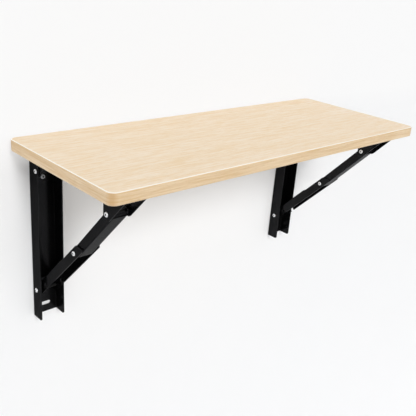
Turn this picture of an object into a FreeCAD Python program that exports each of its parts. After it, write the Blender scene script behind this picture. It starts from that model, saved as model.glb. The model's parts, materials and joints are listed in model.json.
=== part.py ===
import FreeCAD, Part
import math
import os

from FreeCAD import Vector

# Wall mounted drop leaf table: a laminated leaf on two folding steel brackets.
# Millimetres. The wall is the plane Y = 0, the leaf stands out from it towards -Y, and Z is up.
# The origin is on the wall, midway between the two upper wall screws.
# "Out" is a distance from the wall, and "height" is measured from the upper wall screws.

# Leaf
leaf_width = 780.0
leaf_depth = 300.0
core_thickness = 18.4
laminate_thickness = 0.8
corner_radius = 13.0
band_thickness = 2.0
band_rounding = 1.8
back_gap = 2.0                # between the wall and the leaf's back edge

# Sheet steel of the brackets
sheet = 2.0
bend_radius = 0.5             # inside a fold
bracket_inset = 60.0          # from each end of the leaf to a bracket's middle

# Wall channel
channel_width = 48.0
channel_depth = 29.5
channel_length = 325.0
channel_rise = 50.0           # of the top end, above the upper wall screws
channel_corner = 4.0          # rounding of the flanges' free corners
slot_above_end = 18.0
slot_length = 20.0
slot_width = 8.0

# Pivots, with the leaf level
hinge_out = 24.0
hinge_height = 20.0
hinge_below_leaf = 38.0
arm_reach = 208.0             # hinge to ear, along the leaf
ear_drop = 6.0                # ear below the hinge
foot_out = 14.0
foot_drop = 236.0             # foot below the hinge
knee_past_straight = 2.0      # the knee locks this far outside the line from foot to ear

# Table arm
arm_flange = 20.0
hinge_ear_radius = 9.5
brace_ear_back = 9.0          # from its pivot to its upright back edge
brace_ear_front = 11.0        # from its pivot to its sloping front edge
flange_corner = 4.0           # rounding where an ear grows out of the flange

# Brace links, measured from the line through each link's pivots
lower_inner = 10.5
lower_outer = 9.5
lower_above_knee = 17.0       # the cheeks end level, this far above the knee
lower_web_start = 5.0
lower_web_setback = 56.0      # the web stops this far before the knee, so that the upper link swings through
heel_length = 12.0            # flat of the foot that bears on the wall channel
heel_corner = 4.0
lower_corner = 3.5
upper_inner = 7.0
upper_outer = 9.4
upper_past_pivot = 8.0
upper_corner = 6.0
tongue_setback = 1.5          # the upper link's web stops this far before the knee

# Rivets, washers and spacers
rivet_radius = 2.5
rivet_head_radius = 4.2
rivet_head_height = 1.7
rivet_dimple_radius = 1.7
rivet_dimple_depth = 0.9
washer_radius = 6.0
foot_spacer_radius = 5.0
ear_spacer_radius = 3.9

# Wall screws
wall_screw_radius = 2.4
wall_screw_depth = 32.0       # into the wall
wall_screw_neck_radius = 2.6  # plain part, through the sheet
wall_screw_head_radius = 4.25
wall_screw_head_height = 3.0
wall_screw_socket = 4.0       # hexagon socket, across its flats
wall_screw_socket_depth = 2.2

# Arm screws, up through the arm into the leaf
arm_screw_radius = 2.0
arm_screw_grip = 10.0         # into the core
arm_screw_head_radius = 4.0
arm_screw_head_height = 2.4
arm_recess_length = 4.0
arm_recess_width = 1.0
arm_recess_depth = 1.4
arm_screw_first = 66.0        # out from the wall
arm_screw_pitch = 72.0
arm_screw_count = 3

# Shape of every screw head and rivet head
crown_rounding = 0.6          # share of a screw head's height
dome_rounding = 0.8           # share of a rivet head's height
dimple_taper = 0.6            # floor of a rivet's dimple, as a share of its mouth

# Clearances
running_fit = 0.05            # radial, on a pin that turns
fixed_fit = 0.02              # radial, on a pin that stays put
screw_hole_gap = 0.4          # radial, round a screw in sheet steel
head_gap = 0.5                # between the ear rivet's heads and the wall channel, with the leaf hanging
nest_gap = 0.6                # each side, between parts that fold into each other
side_play = 0.3               # beside each washer and spacer
heel_gap = 0.3                # foot to wall channel
notch_gap = 0.8               # round the ear spacer, where the lower link lets it in

# Sizes that follow
bracket_spacing = leaf_width - 2 * bracket_inset
leaf_bottom = hinge_height + hinge_below_leaf
leaf_thickness = core_thickness + 2 * laminate_thickness
channel_bottom = channel_rise - channel_length
channel_inner = channel_width - 2 * sheet
hinge_gap = rivet_head_height + head_gap
arm_width = channel_inner - 2 * hinge_gap
arm_inner = arm_width - 2 * sheet
lower_width = arm_inner - 2 * nest_gap
lower_inner_width = lower_width - 2 * sheet
upper_width = lower_inner_width - 2 * nest_gap
arm_screw_outs = [arm_screw_first + i * arm_screw_pitch for i in range(arm_screw_count)]

ACROSS = Vector(1, 0, 0)
UP = Vector(0, 0, 1)
INTO_WALL = Vector(0, 1, 0)
TINY = 1e-6


def spot(out, height, x=0.0):
    """Point at a distance out from the wall and a height."""
    return Vector(x, -out, height)


def outer_side(direction):
    """Direction square to a link, on the side away from the corner between wall and leaf."""
    return Vector(0, -direction.z, direction.y)


def lower_link_length(foot, ear):
    """Length of the lower link, for a brace that closes with the leaf level and with it hanging.

    With the leaf level the knee stands knee_past_straight outside the line from foot to ear. With the leaf
    hanging the lower link is upright, and the ear has come down beside it, just above the foot.
    """
    span = ear.distanceToPoint(foot)
    rise = foot_drop - arm_reach
    aside = hinge_out - ear_drop - foot_out
    excess = span**2 - rise**2 - aside**2
    root = excess**2 * rise**2 + (span**2 - rise**2) * (excess**2 + 4 * span**2 * knee_past_straight**2)
    return (excess * rise + math.sqrt(root)) / (2 * (span**2 - rise**2))


def knee_point(foot, ear):
    """Knee pivot with the leaf level."""
    length = lower_link_length(foot, ear)
    straight = (ear - foot).normalize()
    along = math.sqrt(length**2 - knee_past_straight**2)
    return foot + straight * along + outer_side(straight) * knee_past_straight


HINGE = spot(hinge_out, hinge_height)
EAR = spot(hinge_out + arm_reach, hinge_height - ear_drop)
FOOT = spot(foot_out, hinge_height - foot_drop)
KNEE = knee_point(FOOT, EAR)


def rounded_face(corners):
    """Flat face whose outline turns each (point, radius) corner with an arc of that radius."""
    starts, ends, arcs = [], [], []
    for i, (point, radius) in enumerate(corners):
        before = (corners[i - 1][0] - point).normalize()
        after = (corners[(i + 1) % len(corners)][0] - point).normalize()
        half = before.getAngle(after) / 2
        reach = radius / math.tan(half)
        starts.append(point + before * reach)
        ends.append(point + after * reach)
        middle = point + (before + after).normalize() * (radius / math.sin(half) - radius)
        arcs.append(Part.Arc(starts[-1], middle, ends[-1]).toShape() if radius else None)
    edges = []
    for i, arc in enumerate(arcs):
        if ends[i - 1].distanceToPoint(starts[i]) > TINY:
            edges.append(Part.makeLine(ends[i - 1], starts[i]))
        if arc:
            edges.append(arc)
    return Part.Face(Part.Wire(edges))


def across(face, width):
    """Solid of a side-view face, centred on X = 0."""
    moved = face.translated(ACROSS * (-width / 2))
    return moved.extrude(ACROSS * width)


def rod(radius, start, direction, length):
    return Part.makeCylinder(radius, length, start, direction)


def cross_hole(radius, centre, width):
    """Cutter for a round hole through a bracket piece, along X."""
    return rod(radius, centre - ACROSS * width, ACROSS, 2 * width)


def folded_bar(start, direction, web_side, width, depth, length):
    """Straight channel of folded sheet, from a point on the middle of its web's outer face."""
    side = ACROSS * (width / 2)
    wall = ACROSS * sheet
    open_side = start - web_side * depth
    under_web = start - web_side * sheet
    section = rounded_face([
        (open_side - side, 0),
        (start - side, sheet + bend_radius),
        (start + side, sheet + bend_radius),
        (open_side + side, 0),
        (open_side + side - wall, 0),
        (under_web + side - wall, bend_radius),
        (under_web - side + wall, bend_radius),
        (open_side - side + wall, 0),
    ])
    return section.extrude(direction * length)


def tube_ring(radius, length, centre, side, face):
    """Washer or spacer on a pivot: from a face at X = side * face, inwards."""
    start = centre + ACROSS * (side * face)
    ring = rod(radius, start, ACROSS * -side, length)
    return ring.cut(rod(rivet_radius + running_fit, start, ACROSS * -side, length))


def tube_rings(radius, length, centre, face):
    return Part.makeCompound([tube_ring(radius, length, centre, side, face) for side in (-1, 1)])


def rivet_head(centre, side, face):
    """Low domed head with a dimple, standing on a face at X = side * face."""
    outwards = ACROSS * side
    base = centre + outwards * face
    head = rod(rivet_head_radius, base, outwards, rivet_head_height)
    top = face + rivet_head_height
    rims = [e for e in head.Edges if abs(abs(e.CenterOfMass.x - centre.x) - top) < TINY]
    head = head.makeFillet(rivet_head_height * dome_rounding, rims)
    dimple_base = base + outwards * (rivet_head_height - rivet_dimple_depth)
    dimple = Part.makeCone(
        rivet_dimple_radius * dimple_taper, rivet_dimple_radius, rivet_dimple_depth, dimple_base, outwards
    )
    return head.cut(dimple)


def through_rivet(centre, width):
    """Rivet right across a bracket, with a head on each outer face."""
    shank = rod(rivet_radius, centre - ACROSS * (width / 2), ACROSS, width)
    heads = [rivet_head(centre, side, width / 2) for side in (-1, 1)]
    return shank.multiFuse(heads).removeSplitter()


def knee_rivets():
    """Two short rivets, one in each cheek of the lower link, flush inside."""
    rivets = []
    for side in (-1, 1):
        inside = KNEE + ACROSS * (side * lower_inner_width / 2)
        shank = rod(rivet_radius, inside, ACROSS * side, sheet)
        rivets.append(shank.fuse(rivet_head(KNEE, side, lower_width / 2)).removeSplitter())
    return Part.makeCompound(rivets)


def screw_blank(seat, direction, radius, length, head_radius, head_height):
    """Pan head screw without a recess: the head stands on a seat, and the shank runs on in a direction."""
    shank = rod(radius, seat, direction, length)
    head = rod(head_radius, seat, direction * -1, head_height)
    crown = seat - direction * head_height
    rims = [e for e in head.Edges if abs((e.CenterOfMass - crown).dot(direction)) < TINY]
    head = head.makeFillet(head_height * crown_rounding, rims)
    return shank.fuse(head).removeSplitter()


def cross_recess(crown, direction, blade_length, blade_width, depth):
    """Cutters for a cross recess in a screw's crown."""
    blades = []
    for along in (ACROSS, direction.cross(ACROSS)):
        beside = direction.cross(along)
        end = along * (blade_length / 2)
        side = beside * (blade_width / 2)
        corners = [crown - end - side, crown + end - side, crown + end + side, crown - end + side]
        blades.append(rounded_face([(point, 0) for point in corners]).extrude(direction * depth))
    return blades


def hexagon_socket(crown, direction, across_flats, depth):
    """Cutter for a hexagon socket in a screw's crown."""
    first = ACROSS * (across_flats / math.sqrt(3))
    corners = [(crown + FreeCAD.Rotation(direction, 60 * i).multVec(first), 0) for i in range(6)]
    return rounded_face(corners).extrude(direction * depth)


def wall_channel():
    """Upright channel, open to the room, with the hinge and foot holes and two wall fixings."""
    outline = rounded_face([
        (spot(0, channel_bottom), 0),
        (spot(0, channel_rise), 0),
        (spot(channel_depth, channel_rise), channel_corner),
        (spot(channel_depth, channel_bottom), channel_corner),
    ])
    bar_start = spot(0, channel_bottom)
    body = folded_bar(bar_start, UP, INTO_WALL, channel_width, channel_depth, channel_length)
    body = body.common(across(outline, channel_width))
    cutters = [cross_hole(rivet_radius + fixed_fit, centre, channel_width) for centre in (HINGE, FOOT)]
    screw_hole = wall_screw_neck_radius + screw_hole_gap
    cutters.append(rod(screw_hole, spot(channel_depth, 0), INTO_WALL, channel_depth))
    cutters.append(wall_slot())
    return body.cut(cutters)


def wall_screw():
    """Socket screw with a plain neck through the sheet, and a thinner shank in the wall."""
    seat = spot(sheet, 0)
    length = sheet + wall_screw_depth
    blank = screw_blank(
        seat, INTO_WALL, wall_screw_radius, length, wall_screw_head_radius, wall_screw_head_height
    )
    screw = blank.fuse(rod(wall_screw_neck_radius, seat, INTO_WALL, sheet)).removeSplitter()
    crown = spot(sheet + wall_screw_head_height, 0)
    return screw.cut(hexagon_socket(crown, INTO_WALL, wall_screw_socket, wall_screw_socket_depth))


def wall_slot():
    """Cutter for the level slot near the wall channel's lower end."""
    height = channel_bottom + slot_above_end
    half_length = slot_length / 2
    half_width = slot_width / 2
    corners = []
    for x, z in ((-half_length, -half_width), (half_length, -half_width),
                 (half_length, half_width), (-half_length, half_width)):
        corners.append((spot(0, height + z, x), half_width))
    return rounded_face(corners).extrude(INTO_WALL * -channel_depth)


def table_arm():
    """Channel under the leaf, with an ear for the hinge and a longer one for the brace."""
    brace = (EAR - KNEE).normalize()
    rise = brace.z
    run = -brace.y
    ear_out = -EAR.y
    ear_back = ear_out - brace_ear_back
    ear_rounding = (brace_ear_back + brace_ear_front) / 2
    flange_bottom = leaf_bottom - arm_flange
    front_end = ear_out + (brace_ear_front + (leaf_bottom - EAR.z) * run) / rise
    ear_tip = EAR.z - (brace_ear_front + brace_ear_back * rise) / run
    back_end = hinge_out - hinge_ear_radius
    hinge_front = hinge_out + hinge_ear_radius
    hinge_tip = hinge_height - hinge_ear_radius
    outline = rounded_face([
        (spot(back_end, leaf_bottom), 0),
        (spot(back_end, hinge_tip), hinge_ear_radius),
        (spot(hinge_front, hinge_tip), hinge_ear_radius),
        (spot(hinge_front, flange_bottom), flange_corner),
        (spot(ear_back, flange_bottom), flange_corner),
        (spot(ear_back, ear_tip), ear_rounding),
        (spot(front_end, leaf_bottom), 0),
    ])
    web_start = spot(back_end, leaf_bottom)
    body = folded_bar(
        web_start, INTO_WALL * -1, UP, arm_width, leaf_bottom - ear_tip, front_end - back_end
    )
    body = body.common(across(outline, arm_width))
    cutters = [
        cross_hole(rivet_radius + running_fit, HINGE, arm_width),
        cross_hole(rivet_radius + fixed_fit, EAR, arm_width),
    ]
    for out in arm_screw_outs:
        cutters.append(rod(arm_screw_radius + screw_hole_gap, spot(out, leaf_bottom - sheet), UP, sheet))
    return body.cut(cutters)


def link_corner(pivot, direction, along, aside, radius=0):
    """Outline corner of a link, measured along it from a pivot and sideways to its outer side."""
    return pivot + direction * along + outer_side(direction) * aside, radius


def lower_link():
    """Outer link of the brace: two cheeks, joined by a web on the side of the wall and leaf.

    The web stops well before the knee, and the cheeks run on past it to a level end.
    """
    direction = (KNEE - FOOT).normalize()
    length = KNEE.distanceToPoint(FOOT)
    heel_out = sheet + heel_gap
    cheek_inner = lower_inner - sheet - bend_radius
    end = KNEE.z + lower_above_knee - FOOT.z
    inner_end = (end + cheek_inner * direction.y) / direction.z
    outer_end = (end - lower_outer * direction.y) / direction.z
    web_end = length - lower_web_setback
    outline = rounded_face([
        link_corner(FOOT, direction, lower_web_start, -cheek_inner),
        (spot(heel_out, FOOT.z), 0),
        (spot(heel_out, FOOT.z - heel_length), heel_corner),
        link_corner(FOOT, direction, -lower_outer, lower_outer, heel_corner),
        link_corner(FOOT, direction, outer_end, lower_outer, lower_corner),
        link_corner(FOOT, direction, inner_end, -cheek_inner, lower_corner),
        link_corner(FOOT, direction, web_end, -cheek_inner),
        link_corner(FOOT, direction, web_end, -lower_inner),
        link_corner(FOOT, direction, lower_web_start, -lower_inner),
    ])
    inwards = outer_side(direction) * -1
    bar_start = FOOT - direction * heel_length * 2 + inwards * lower_inner
    bar_length = outer_end + heel_length * 2
    body = folded_bar(bar_start, direction, inwards, lower_width, lower_inner + lower_outer, bar_length)
    body = body.common(across(outline, lower_width))
    return body.cut([
        cross_hole(rivet_radius + running_fit, FOOT, lower_width),
        cross_hole(rivet_radius + fixed_fit, KNEE, lower_width),
        spacer_notch(direction),
    ])


def spacer_notch(direction):
    """Cutter that lets the ear's spacers into the lower link's cheeks when the leaf hangs."""
    half_width = ear_spacer_radius + notch_gap
    along = foot_drop - arm_reach
    aside = hinge_out - ear_drop - foot_out
    mouth = lower_outer + half_width
    outline = rounded_face([
        link_corner(FOOT, direction, along - half_width, aside - half_width, half_width),
        link_corner(FOOT, direction, along - half_width, mouth),
        link_corner(FOOT, direction, along + half_width, mouth),
        link_corner(FOOT, direction, along + half_width, aside - half_width, half_width),
    ])
    return across(outline, 2 * lower_width)


def upper_link():
    """Inner link of the brace: two cheeks, joined by a web on the outer side."""
    direction = (EAR - KNEE).normalize()
    length = EAR.distanceToPoint(KNEE)
    end = length + upper_past_pivot
    cheek_outer = upper_outer - sheet - bend_radius
    outline = rounded_face([
        link_corner(KNEE, direction, -upper_past_pivot, -upper_inner, upper_corner),
        link_corner(KNEE, direction, -upper_past_pivot, cheek_outer, upper_corner),
        link_corner(KNEE, direction, tongue_setback, cheek_outer),
        link_corner(KNEE, direction, tongue_setback, upper_outer),
        link_corner(KNEE, direction, length, upper_outer),
        link_corner(KNEE, direction, length, cheek_outer),
        link_corner(KNEE, direction, end, cheek_outer, upper_corner),
        link_corner(KNEE, direction, end, -upper_inner, upper_corner),
    ])
    outwards = outer_side(direction)
    bar_start = KNEE - direction * upper_past_pivot + outwards * upper_outer
    bar_length = end + upper_past_pivot
    body = folded_bar(bar_start, direction, outwards, upper_width, upper_inner + upper_outer, bar_length)
    body = body.common(across(outline, upper_width))
    return body.cut([cross_hole(rivet_radius + running_fit, centre, upper_width) for centre in (KNEE, EAR)])


def arm_screws():
    """Cross recess screws, up through one arm into the leaf."""
    length = sheet + laminate_thickness + arm_screw_grip
    screws = []
    for out in arm_screw_outs:
        seat = spot(out, leaf_bottom - sheet)
        blank = screw_blank(seat, UP, arm_screw_radius, length, arm_screw_head_radius, arm_screw_head_height)
        crown = seat - UP * arm_screw_head_height
        recess = cross_recess(crown, UP, arm_recess_length, arm_recess_width, arm_recess_depth)
        screws.append(blank.cut(recess))
    return Part.makeCompound(screws)


def bracket_pieces():
    """Every piece of one bracket, centred on X = 0."""
    foot_gap = (channel_inner - lower_width) / 2
    ear_gap = (arm_inner - upper_width) / 2
    return {
        "wall_channel": wall_channel(),
        "wall_screw": wall_screw(),
        "hinge_rivet": through_rivet(HINGE, channel_width),
        "hinge_washers": tube_rings(washer_radius, hinge_gap - side_play, HINGE, channel_inner / 2),
        "foot_rivet": through_rivet(FOOT, channel_width),
        "foot_spacers": tube_rings(foot_spacer_radius, foot_gap - side_play, FOOT, channel_inner / 2),
        "table_arm": table_arm(),
        "arm_screws": arm_screws(),
        "ear_rivet": through_rivet(EAR, arm_width),
        "ear_spacers": tube_rings(ear_spacer_radius, ear_gap - side_play, EAR, arm_inner / 2),
        "lower_link": lower_link(),
        "knee_rivets": knee_rivets(),
        "upper_link": upper_link(),
    }


def leaf_slab(inset, bottom, thickness):
    """Rounded plate of the leaf's outline, drawn in by an inset."""
    half = leaf_width / 2 - inset
    back = back_gap + inset
    front = back_gap + leaf_depth - inset
    radius = corner_radius - inset
    corners = [(-half, back), (half, back), (half, front), (-half, front)]
    face = rounded_face([(spot(out, bottom, x), radius) for x, out in corners])
    return face.extrude(UP * thickness)


def screw_bores(bottom, thickness):
    """Cutters for the arm screws, through one layer of the leaf."""
    bores = []
    for side in (-1, 1):
        for out in arm_screw_outs:
            start = spot(out, bottom, side * bracket_spacing / 2)
            bores.append(rod(arm_screw_radius + fixed_fit, start, UP, thickness))
    return bores


def edge_band():
    """Band round the leaf, with its two outer edges eased."""
    slab = leaf_slab(0, leaf_bottom, leaf_thickness)
    leaf_top = leaf_bottom + leaf_thickness
    level = lambda z: abs(z - leaf_bottom) < TINY or abs(z - leaf_top) < TINY
    rims = [e for e in slab.Edges if all(level(v.Z) for v in e.Vertexes)]
    slab = slab.makeFillet(band_rounding, rims)
    return slab.cut(leaf_slab(band_thickness, leaf_bottom, leaf_thickness))


def leaf_pieces():
    core_bottom = leaf_bottom + laminate_thickness
    core_top = core_bottom + core_thickness
    bottom = leaf_slab(band_thickness, leaf_bottom, laminate_thickness)
    core = leaf_slab(band_thickness, core_bottom, core_thickness)
    return {
        "bottom_laminate": bottom.cut(screw_bores(leaf_bottom, laminate_thickness)),
        "leaf_core": core.cut(screw_bores(core_bottom, arm_screw_grip)),
        "top_laminate": leaf_slab(band_thickness, core_top, laminate_thickness),
        "edge_band": edge_band(),
    }


def main():
    os.makedirs("parts", exist_ok=True)
    nodes = leaf_pieces()
    for name, shape in bracket_pieces().items():
        for side, word in ((-1, "left"), (1, "right")):
            nodes[f"{name}_{word}"] = shape.translated(ACROSS * (side * bracket_spacing / 2))
    for name, shape in nodes.items():
        shape.exportStep(os.path.join("parts", name + ".step"))
        print(name, "valid" if shape.isValid() else "NOT VALID", len(shape.Solids), round(shape.Volume))


main()
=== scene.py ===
import json
import math

import bpy
from mathutils import Matrix, Vector


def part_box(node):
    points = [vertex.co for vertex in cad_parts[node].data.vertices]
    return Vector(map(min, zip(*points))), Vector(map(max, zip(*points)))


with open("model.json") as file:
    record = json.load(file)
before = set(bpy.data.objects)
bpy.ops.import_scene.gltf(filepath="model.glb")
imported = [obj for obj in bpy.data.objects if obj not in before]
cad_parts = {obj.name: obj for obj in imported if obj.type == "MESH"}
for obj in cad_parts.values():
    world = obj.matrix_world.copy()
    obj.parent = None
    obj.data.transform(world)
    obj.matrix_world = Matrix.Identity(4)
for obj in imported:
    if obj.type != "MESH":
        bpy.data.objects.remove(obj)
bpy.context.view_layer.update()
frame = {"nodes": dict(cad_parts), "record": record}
scene = bpy.context.scene

# Sizes of the part, in metres
leaf_low, leaf_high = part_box("edge_band")
channel_low, channel_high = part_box("wall_channel_right")
bracket_x = (channel_low[0] + channel_high[0]) / 2
leaf_corner = 0.013      # radius of the leaf's corners, seen from above
band_rounding = 0.0018   # radius of the edge band's upper and lower edges
inside_half = 0.017      # half of the space inside a bracket, where rivet shanks get painted shade
inside_shade_fade = 0.001      # over which the painted shade on a shank fades to its bright zinc

# Stage, in metres
wall_y = 0.0004          # just behind the channels' backs
floor_z = -1.8
stage_reach = 8.0
even_fade = 0.04         # below the leaf, where the wall's even white fades into shade
stage_white = (0.907, 0.910, 0.916, 1.0)  # linear colour

# Levels of light, where 1 is white
white_level = 0.96       # of the background, as the camera and reflections see it
world_level = 0.4        # of the light from all round
lamp_distance = 3.0      # metres

# Camera, in metres, with the lens in millimetres and the shift as shares of the picture
sensor_width = 36.0
lens = 53.444
shift_right, shift_up = -0.0288, -0.0048
camera_place = (-0.83087, -0.94561, 0.38123)
camera_forward = (0.65889, 0.65435, -0.37107)
camera_down = (-0.20026, -0.32291, -0.92500)

# Usual range of a noise
noise_low, noise_high = 0.3, 0.7

# Numbers per metre of the maple's broad bands and its pores, along the grain and across it
broad_bands = (2.5, 30)
pore_lines = (110, 1500)

# Share of a corner's radius, from its outside, at which the painted shade on the edge band is darkest
corner_shade_full = 0.4

# Shares of the edge band's rounding at which the painted highlight lines along its upper and lower edges
# start and are full
upper_line_start, upper_line_full = 0.55, 0.3
lower_line_start, lower_line_full = 0.5, 0.2

# Width of the painted highlight along the powder coat's edges, in metres
edge_highlight_width = 0.0009


def srgb(red, green, blue):
    """Linear colour from the usual 0 to 255 values."""
    linear = []
    for value in (red, green, blue):
        share = value / 255
        linear.append(share / 12.92 if share <= 0.04045 else ((share + 0.055) / 1.055) ** 2.4)
    return (*linear, 1.0)


def darker(colour, share):
    """Linear colour with a share of its light."""
    return (*(level * share for level in colour[:3]), 1.0)


class NodeTree:
    """A node tree, with short ways to add nodes. An input takes a socket or a plain value."""

    def __init__(self, tree):
        self.tree = tree

    def add(self, kind, inputs=None, **settings):
        made = self.tree.nodes.new(kind)
        for key, value in settings.items():
            setattr(made, key, value)
        for key, value in (inputs or {}).items():
            self.put(made.inputs[key], value)
        return made

    def put(self, socket, value):
        if isinstance(value, bpy.types.NodeSocket):
            self.tree.links.new(value, socket)
        else:
            socket.default_value = value

    def math(self, operation, first, second=0.0):
        return self.add("ShaderNodeMath", {0: first, 1: second}, operation=operation).outputs["Value"]

    def weighted(self, *terms):
        """Sum of values, each given after its weight."""
        total = None
        for weight, value in terms:
            term = self.math("MULTIPLY", value, weight)
            total = term if total is None else self.math("ADD", total, term)
        return total

    def remap(self, value, low, high, to_low=0.0, to_high=1.0):
        ends = {"From Min": low, "From Max": high, "To Min": to_low, "To Max": to_high}
        return self.add("ShaderNodeMapRange", {"Value": value, **ends}).outputs["Result"]

    def seen(self):
        """1 where the camera or a reflection looks, and 0 for light on its way to the object."""
        paths = self.add("ShaderNodeLightPath").outputs
        mirrored = self.math("MAXIMUM", paths["Is Glossy Ray"], paths["Is Transmission Ray"])
        return self.math("MAXIMUM", paths["Is Camera Ray"], mirrored)


class Shader(NodeTree):
    """A new material's node tree."""

    def __init__(self, name):
        self.material = bpy.data.materials.new(name)
        self.material.use_nodes = True
        super().__init__(self.material.node_tree)
        self.surface = self.tree.nodes["Principled BSDF"]
        self.output = self.tree.nodes["Material Output"]
        self.place = self.add("ShaderNodeTexCoord").outputs["Object"]

    def set(self, **values):
        """Sets the surface's inputs, with underscores for the spaces in their names."""
        for key, value in values.items():
            self.put(self.surface.inputs[key.replace("_", " ")], value)

    def axis(self, name):
        return self.add("ShaderNodeSeparateXYZ", {"Vector": self.place}).outputs[name]

    def noise(self, scale, detail, roughness=0.55, offset=(0, 0, 0)):
        """Noise with its own number of features per metre along each axis."""
        spread = self.add(
            "ShaderNodeMapping", {"Vector": self.place, "Scale": scale, "Location": offset}
        ).outputs["Vector"]
        made = self.add(
            "ShaderNodeTexNoise",
            {"Vector": spread, "Scale": 1.0, "Detail": detail, "Roughness": roughness},
        )
        return made.outputs["Fac"]

    def graded(self, noise, to_low=0.0, to_high=1.0):
        """A noise's usual range, spread between two values."""
        return self.remap(noise, noise_low, noise_high, to_low, to_high)

    def mix(self, share, first, second):
        """Mix of two colours."""
        made = self.add("ShaderNodeMix", data_type="RGBA")
        inputs = {socket.identifier: socket for socket in made.inputs}
        self.put(inputs["Factor_Float"], share)
        self.put(inputs["A_Color"], first)
        self.put(inputs["B_Color"], second)
        return next(socket for socket in made.outputs if socket.identifier == "Result_Color")

    def blend(self, share, first, second):
        """Mix of two surfaces."""
        return self.add("ShaderNodeMixShader", {0: share, 1: first, 2: second}).outputs["Shader"]

    def rounded(self, radius, samples):
        """The surface's normal, with its edges rounded."""
        return self.add("ShaderNodeBevel", {"Radius": radius}, samples=samples).outputs["Normal"]

    def bump(self, height, distance, strength, rounding=None):
        """Fine relief, on edges that look rounded where a radius is given."""
        inputs = {"Height": height, "Distance": distance, "Strength": strength}
        if rounding:
            inputs["Normal"] = self.rounded(rounding, samples=4)
        self.set(Normal=self.add("ShaderNodeBump", inputs).outputs["Normal"])


def maple(name, light, dark, along, streaks, flecks, specular, painted_edge_light=None):
    """Maple-look laminate. Along marks the axes of the grain.

    Streaks and flecks give their numbers per metre along the grain and across it.
    The last argument is a function that paints highlight and shade into the colour along the edges.
    """
    shader = Shader(name)

    def grain(numbers, **settings):
        """Noise that is drawn out along the grain."""
        lengthwise, crosswise = numbers
        return shader.noise([lengthwise if marked else crosswise for marked in along], **settings)

    broad = grain(broad_bands, detail=2.0)
    streak = grain(streaks, detail=3.0, roughness=0.6, offset=(3.1, 7.7, 1.3))
    fleck = grain(flecks, detail=2.0, roughness=0.5, offset=(9.2, 1.4, 5.8))
    pores = grain(pore_lines, detail=1.0, roughness=0.5, offset=(2.3, 4.4, 8.1))
    tone = shader.weighted((0.1, broad), (0.55, streak), (0.35, fleck))
    colour = shader.mix(shader.remap(tone, low=0.41, high=0.59), light, dark)
    pore_share = shader.remap(pores, low=0.6, high=0.72, to_high=0.45)
    colour = shader.mix(pore_share, colour, darker(dark, share=0.8))
    if painted_edge_light:
        colour = painted_edge_light(shader, colour)
    shader.set(
        Base_Color=colour,
        Roughness=shader.graded(streak, to_low=0.36, to_high=0.48),
        Specular_IOR_Level=specular,
    )
    relief = shader.weighted((1.0, fleck), (-0.7, pores))
    shader.bump(relief, distance=0.00012, strength=0.35)
    return shader.material


def band_painted_light(shader, colour):
    """Edge band with painted highlight lines along its upper and lower edges, and painted shade where it
    turns round a corner.
    """

    def into_corner(distance, half_length):
        """Grows from the start of a corner to where it is darkest."""
        start = half_length - leaf_corner
        return shader.remap(distance, start, half_length - leaf_corner * corner_shade_full)

    middle_y = (leaf_low[1] + leaf_high[1]) / 2
    from_middle_x = shader.math("ABSOLUTE", shader.axis("X"))
    from_middle_y = shader.math("ABSOLUTE", shader.math("SUBTRACT", shader.axis("Y"), middle_y))
    ends = into_corner(from_middle_x, leaf_high[0])
    sides = into_corner(from_middle_y, (leaf_high[1] - leaf_low[1]) / 2)
    # Painted shade: the edge band is darker where it turns round the leaf's corners
    painted_corner_shade = shader.weighted((0.65, shader.math("MINIMUM", ends, sides)))
    colour = shader.mix(painted_corner_shade, colour, srgb(190, 152, 104))

    # Painted highlight: pale lines on the rounded upper and lower edges, where light catches them
    height = shader.axis("Z")
    top, bottom = leaf_high[2], leaf_low[2]
    upper = shader.remap(
        height,
        low=top - band_rounding * upper_line_start,
        high=top - band_rounding * upper_line_full,
    )
    lower = shader.remap(
        height,
        low=bottom + band_rounding * lower_line_start,
        high=bottom + band_rounding * lower_line_full,
        to_high=0.5,
    )
    return shader.mix(shader.math("MAXIMUM", upper, lower), colour, srgb(255, 250, 240))


def fibreboard():
    """Raw board inside the leaf, pressed from fine fibres."""
    shader = Shader("fibreboard")
    fibres = shader.noise((700, 700, 1400), detail=4.0, roughness=0.7)
    shade = shader.remap(fibres, low=0.35, high=0.65)
    shader.set(
        Base_Color=shader.mix(shade, srgb(176, 142, 100), srgb(142, 110, 74)),
        Roughness=shader.graded(fibres, to_low=0.75, to_high=0.9),
    )
    shader.bump(fibres, distance=0.0003, strength=0.5)
    return shader.material


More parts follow.
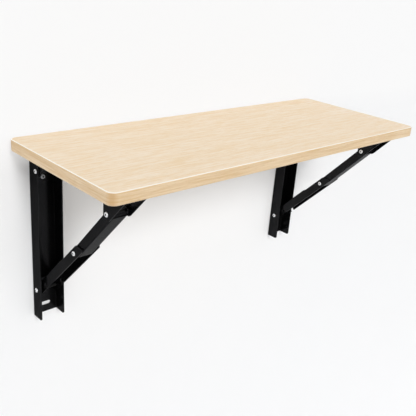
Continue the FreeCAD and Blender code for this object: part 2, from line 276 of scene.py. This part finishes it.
def powder_coat():
    """Satin black powder coat, with a faint orange peel, handling marks and a painted highlight along its
    edges, in patches.
    """
    shader = Shader("black_powder_coat")
    peel = shader.noise((650, 650, 650), detail=2.0, roughness=0.5)
    speck = shader.noise((2600, 2600, 2600), detail=1.0, roughness=0.5, offset=(4.0, 2.0, 6.0))
    cloud = shader.noise((14, 14, 9), detail=4.0, roughness=0.6, offset=(1.0, 5.0, 3.0))
    rub = shader.noise((90, 90, 35), detail=5.0, roughness=0.75, offset=(7.0, 3.0, 2.0))
    colour = shader.mix(shader.graded(cloud), srgb(31, 31, 32), srgb(37, 37, 38))
    rubbed = shader.remap(rub, low=0.66, high=0.8, to_high=0.25)
    colour = shader.mix(rubbed, colour, srgb(48, 48, 49))

    # Near an edge, the rounded normal turns away from the true one
    normals = {
        0: shader.rounded(edge_highlight_width, samples=6),
        1: shader.add("ShaderNodeNewGeometry").outputs["Normal"],
    }
    agreement = shader.add("ShaderNodeVectorMath", normals, operation="DOT_PRODUCT").outputs["Value"]
    # Painted highlight: the edges are lightened towards grey, in patches, where light catches them
    edge_highlight_share = shader.remap(agreement, low=0.99, high=0.85)
    patchy = shader.remap(rub, low=0.35, high=0.6, to_low=0.35)
    colour = shader.mix(shader.math("MULTIPLY", edge_highlight_share, patchy), colour, srgb(72, 72, 74))

    satin = shader.graded(cloud, to_low=0.16, to_high=0.24)
    matt_specks = shader.graded(speck, to_high=0.05)
    shader.set(
        Base_Color=colour,
        Roughness=shader.math("ADD", satin, matt_specks),
        Metallic=0.8,
        Specular_IOR_Level=0.0,
        Specular_Tint=(0.52, 0.52, 0.52, 1.0),
    )
    relief = shader.weighted((1.0, peel), (0.3, speck))
    shader.bump(relief, distance=0.00012, strength=0.4, rounding=0.0004)
    return shader.material


def zinc(name, roughness, shade_inside=False):
    """Bright zinc plate, faintly clouded and scratched, with painted shade in its recesses.

    When set, the last argument paints shade on the parts inside the brackets.
    """
    shader = Shader(name)
    cloud = shader.noise((260, 260, 260), detail=3.0, roughness=0.6)
    scratch = shader.noise((300, 2400, 900), detail=2.0, roughness=0.6, offset=(5.0, 1.0, 2.0))
    colour = shader.mix(shader.graded(cloud), srgb(242, 243, 244), srgb(220, 222, 225))
    # Painted shade: ambient occlusion darkens rivet dimples and screw sockets to near black
    hollow = shader.add("ShaderNodeAmbientOcclusion", {"Distance": 0.004}, samples=8, only_local=True)
    openness = shader.remap(hollow.outputs["AO"], low=0.78, high=0.98)
    colour = shader.mix(openness, srgb(20, 20, 21), colour)
    # Painted shade: parts inside the brackets are dark, where the channel's shade falls
    if shade_inside:
        from_middle = shader.math("ABSOLUTE", shader.axis("X"))
        from_bracket = shader.math("ABSOLUTE", shader.math("SUBTRACT", from_middle, bracket_x))
        outside = shader.remap(from_bracket, inside_half - inside_shade_fade, inside_half)
        colour = shader.mix(outside, srgb(24, 24, 24), colour)
    shader.set(
        Base_Color=colour,
        Roughness=shader.graded(scratch, to_low=roughness, to_high=roughness + 0.15),
        Metallic=0.6,
    )
    shader.bump(scratch, distance=0.00004, strength=0.4, rounding=0.0002)
    return shader.material


def nylon():
    """Moulded black nylon, matt, with a fine grain."""
    shader = Shader("black_nylon")
    grain = shader.noise((1800, 1800, 1800), detail=2.0, roughness=0.6)
    cloud = shader.noise((120, 120, 120), detail=3.0, roughness=0.6, offset=(3.0, 1.0, 4.0))
    shader.set(
        Base_Color=shader.mix(shader.graded(cloud), srgb(12, 12, 12), srgb(20, 20, 20)),
        Roughness=shader.graded(grain, to_low=0.55, to_high=0.7),
        Specular_IOR_Level=0.25,
    )
    shader.bump(grain, distance=0.00005, strength=0.4)
    return shader.material


# The part's materials
materials = {
    "maple_laminate": maple(
        "maple_laminate",
        light=srgb(248, 230, 205),
        dark=srgb(240, 213, 173),
        along=(1, 0, 0),
        streaks=(12, 250),
        flecks=(60, 330),
        specular=0.4,
    ),
    "edge_band": maple(
        "edge_band",
        light=srgb(232, 208, 175),
        dark=srgb(216, 185, 141),
        along=(1, 1, 0),
        streaks=(9, 210),
        flecks=(25, 480),
        specular=0.25,
        painted_edge_light=band_painted_light,
    ),
    "core_board": fibreboard(),
    "black_powder_coat": powder_coat(),
    "zinc_steel": zinc("zinc_steel", roughness=0.5),
    "black_nylon": nylon(),
}
rivet_zinc = zinc("zinc_rivet", roughness=0.3, shade_inside=True)

for subpart in frame["record"]["subparts"]:
    node, slot = subpart["node"], subpart["material_slot"]
    piece = frame["nodes"][node]
    piece.data.materials.clear()
    piece.data.materials.append(rivet_zinc if "rivet" in node else materials[slot])


# The stage
def stage_paint(name, even=None):
    """Matt paint that only shows from its front, so that views from behind look through it.

    Even is a function that gives the share of it that is seen as even white, without light or shade.
    """
    shader = Shader(name)
    tint = shader.graded(shader.noise((3, 3, 3), detail=2.0))
    shader.set(
        Base_Color=shader.mix(tint, stage_white, darker(stage_white, share=0.995)),
        Roughness=0.9,
        Specular_IOR_Level=0.0,
    )
    front = shader.surface.outputs["BSDF"]
    if even:
        even_white = shader.add("ShaderNodeEmission", {"Strength": white_level}).outputs["Emission"]
        front = shader.blend(shader.math("MULTIPLY", shader.seen(), even(shader)), front, even_white)
    clear = shader.add("ShaderNodeBsdfTransparent").outputs["BSDF"]
    behind = shader.add("ShaderNodeNewGeometry").outputs["Backfacing"]
    shader.put(shader.output.inputs["Surface"], shader.blend(behind, front, clear))
    return shader.material


def even_above_leaf(shader):
    """The wall is nearly even above the leaf, and keeps most of the shadow below it."""
    fade_start = leaf_low[2] - even_fade
    return shader.remap(shader.axis("Z"), fade_start, leaf_high[2], to_low=0.12, to_high=0.85)


def stage_plane(name, corners, even=None):
    mesh = bpy.data.meshes.new(name)
    mesh.from_pydata(corners, [], [(0, 1, 2, 3)])
    mesh.materials.append(stage_paint(name, even))
    plane = bpy.data.objects.new(name, mesh)
    scene.collection.objects.link(plane)


stage_plane(
    "wall",
    [
        (-stage_reach, wall_y, floor_z),
        (stage_reach, wall_y, floor_z),
        (stage_reach, wall_y, stage_reach),
        (-stage_reach, wall_y, stage_reach),
    ],
    even_above_leaf,
)
stage_plane(
    "floor",
    [
        (-stage_reach, -stage_reach, floor_z),
        (stage_reach, -stage_reach, floor_z),
        (stage_reach, stage_reach, floor_z),
        (-stage_reach, stage_reach, floor_z),
    ],
)

# Light
world = bpy.data.worlds.new("studio")
world.use_nodes = True
scene.world = world
studio = NodeTree(world.node_tree)
background = studio.tree.nodes["Background"]
studio.put(background.inputs["Color"], (1.0, 1.0, 1.0, 1.0))
level = studio.remap(studio.seen(), low=0.0, high=1.0, to_low=world_level, to_high=white_level)
studio.put(background.inputs["Strength"], level)


def soft_sun(name, azimuth, elevation, spread, level):
    """Distant soft light. Azimuth 0 is straight out from the wall, and 90 is to the right.

    A white surface that faces it gets this level of light from it.
    """
    a = math.radians(azimuth)
    e = math.radians(elevation)
    away = Vector((math.sin(a) * math.cos(e), -math.cos(a) * math.cos(e), math.sin(e)))
    light = bpy.data.lights.new(name, "SUN")
    light.angle = math.radians(spread)
    light.energy = math.pi * level
    lamp = bpy.data.objects.new(name, light)
    lamp.location = away * lamp_distance
    lamp.rotation_mode = "QUATERNION"
    lamp.rotation_quaternion = (-away).to_track_quat("-Z", "Y")
    scene.collection.objects.link(lamp)


soft_sun("key", azimuth=-12, elevation=30, spread=18, level=0.53)
soft_sun("fill", azimuth=-75, elevation=15, spread=60, level=0.13)

# Camera
camera_data = bpy.data.cameras.new("camera")
camera_data.sensor_width = sensor_width
camera_data.lens = lens
camera_data.shift_x = shift_right
camera_data.shift_y = shift_up
camera = bpy.data.objects.new("camera", camera_data)
scene.collection.objects.link(camera)
scene.camera = camera
forward = Vector(camera_forward).normalized()
right = Vector(camera_down).cross(forward).normalized()
up = right.cross(forward)
turn = Matrix((right, up, -forward)).transposed().to_4x4()
camera.matrix_world = Matrix.Translation(camera_place) @ turn

scene.view_settings.view_transform = "Standard"
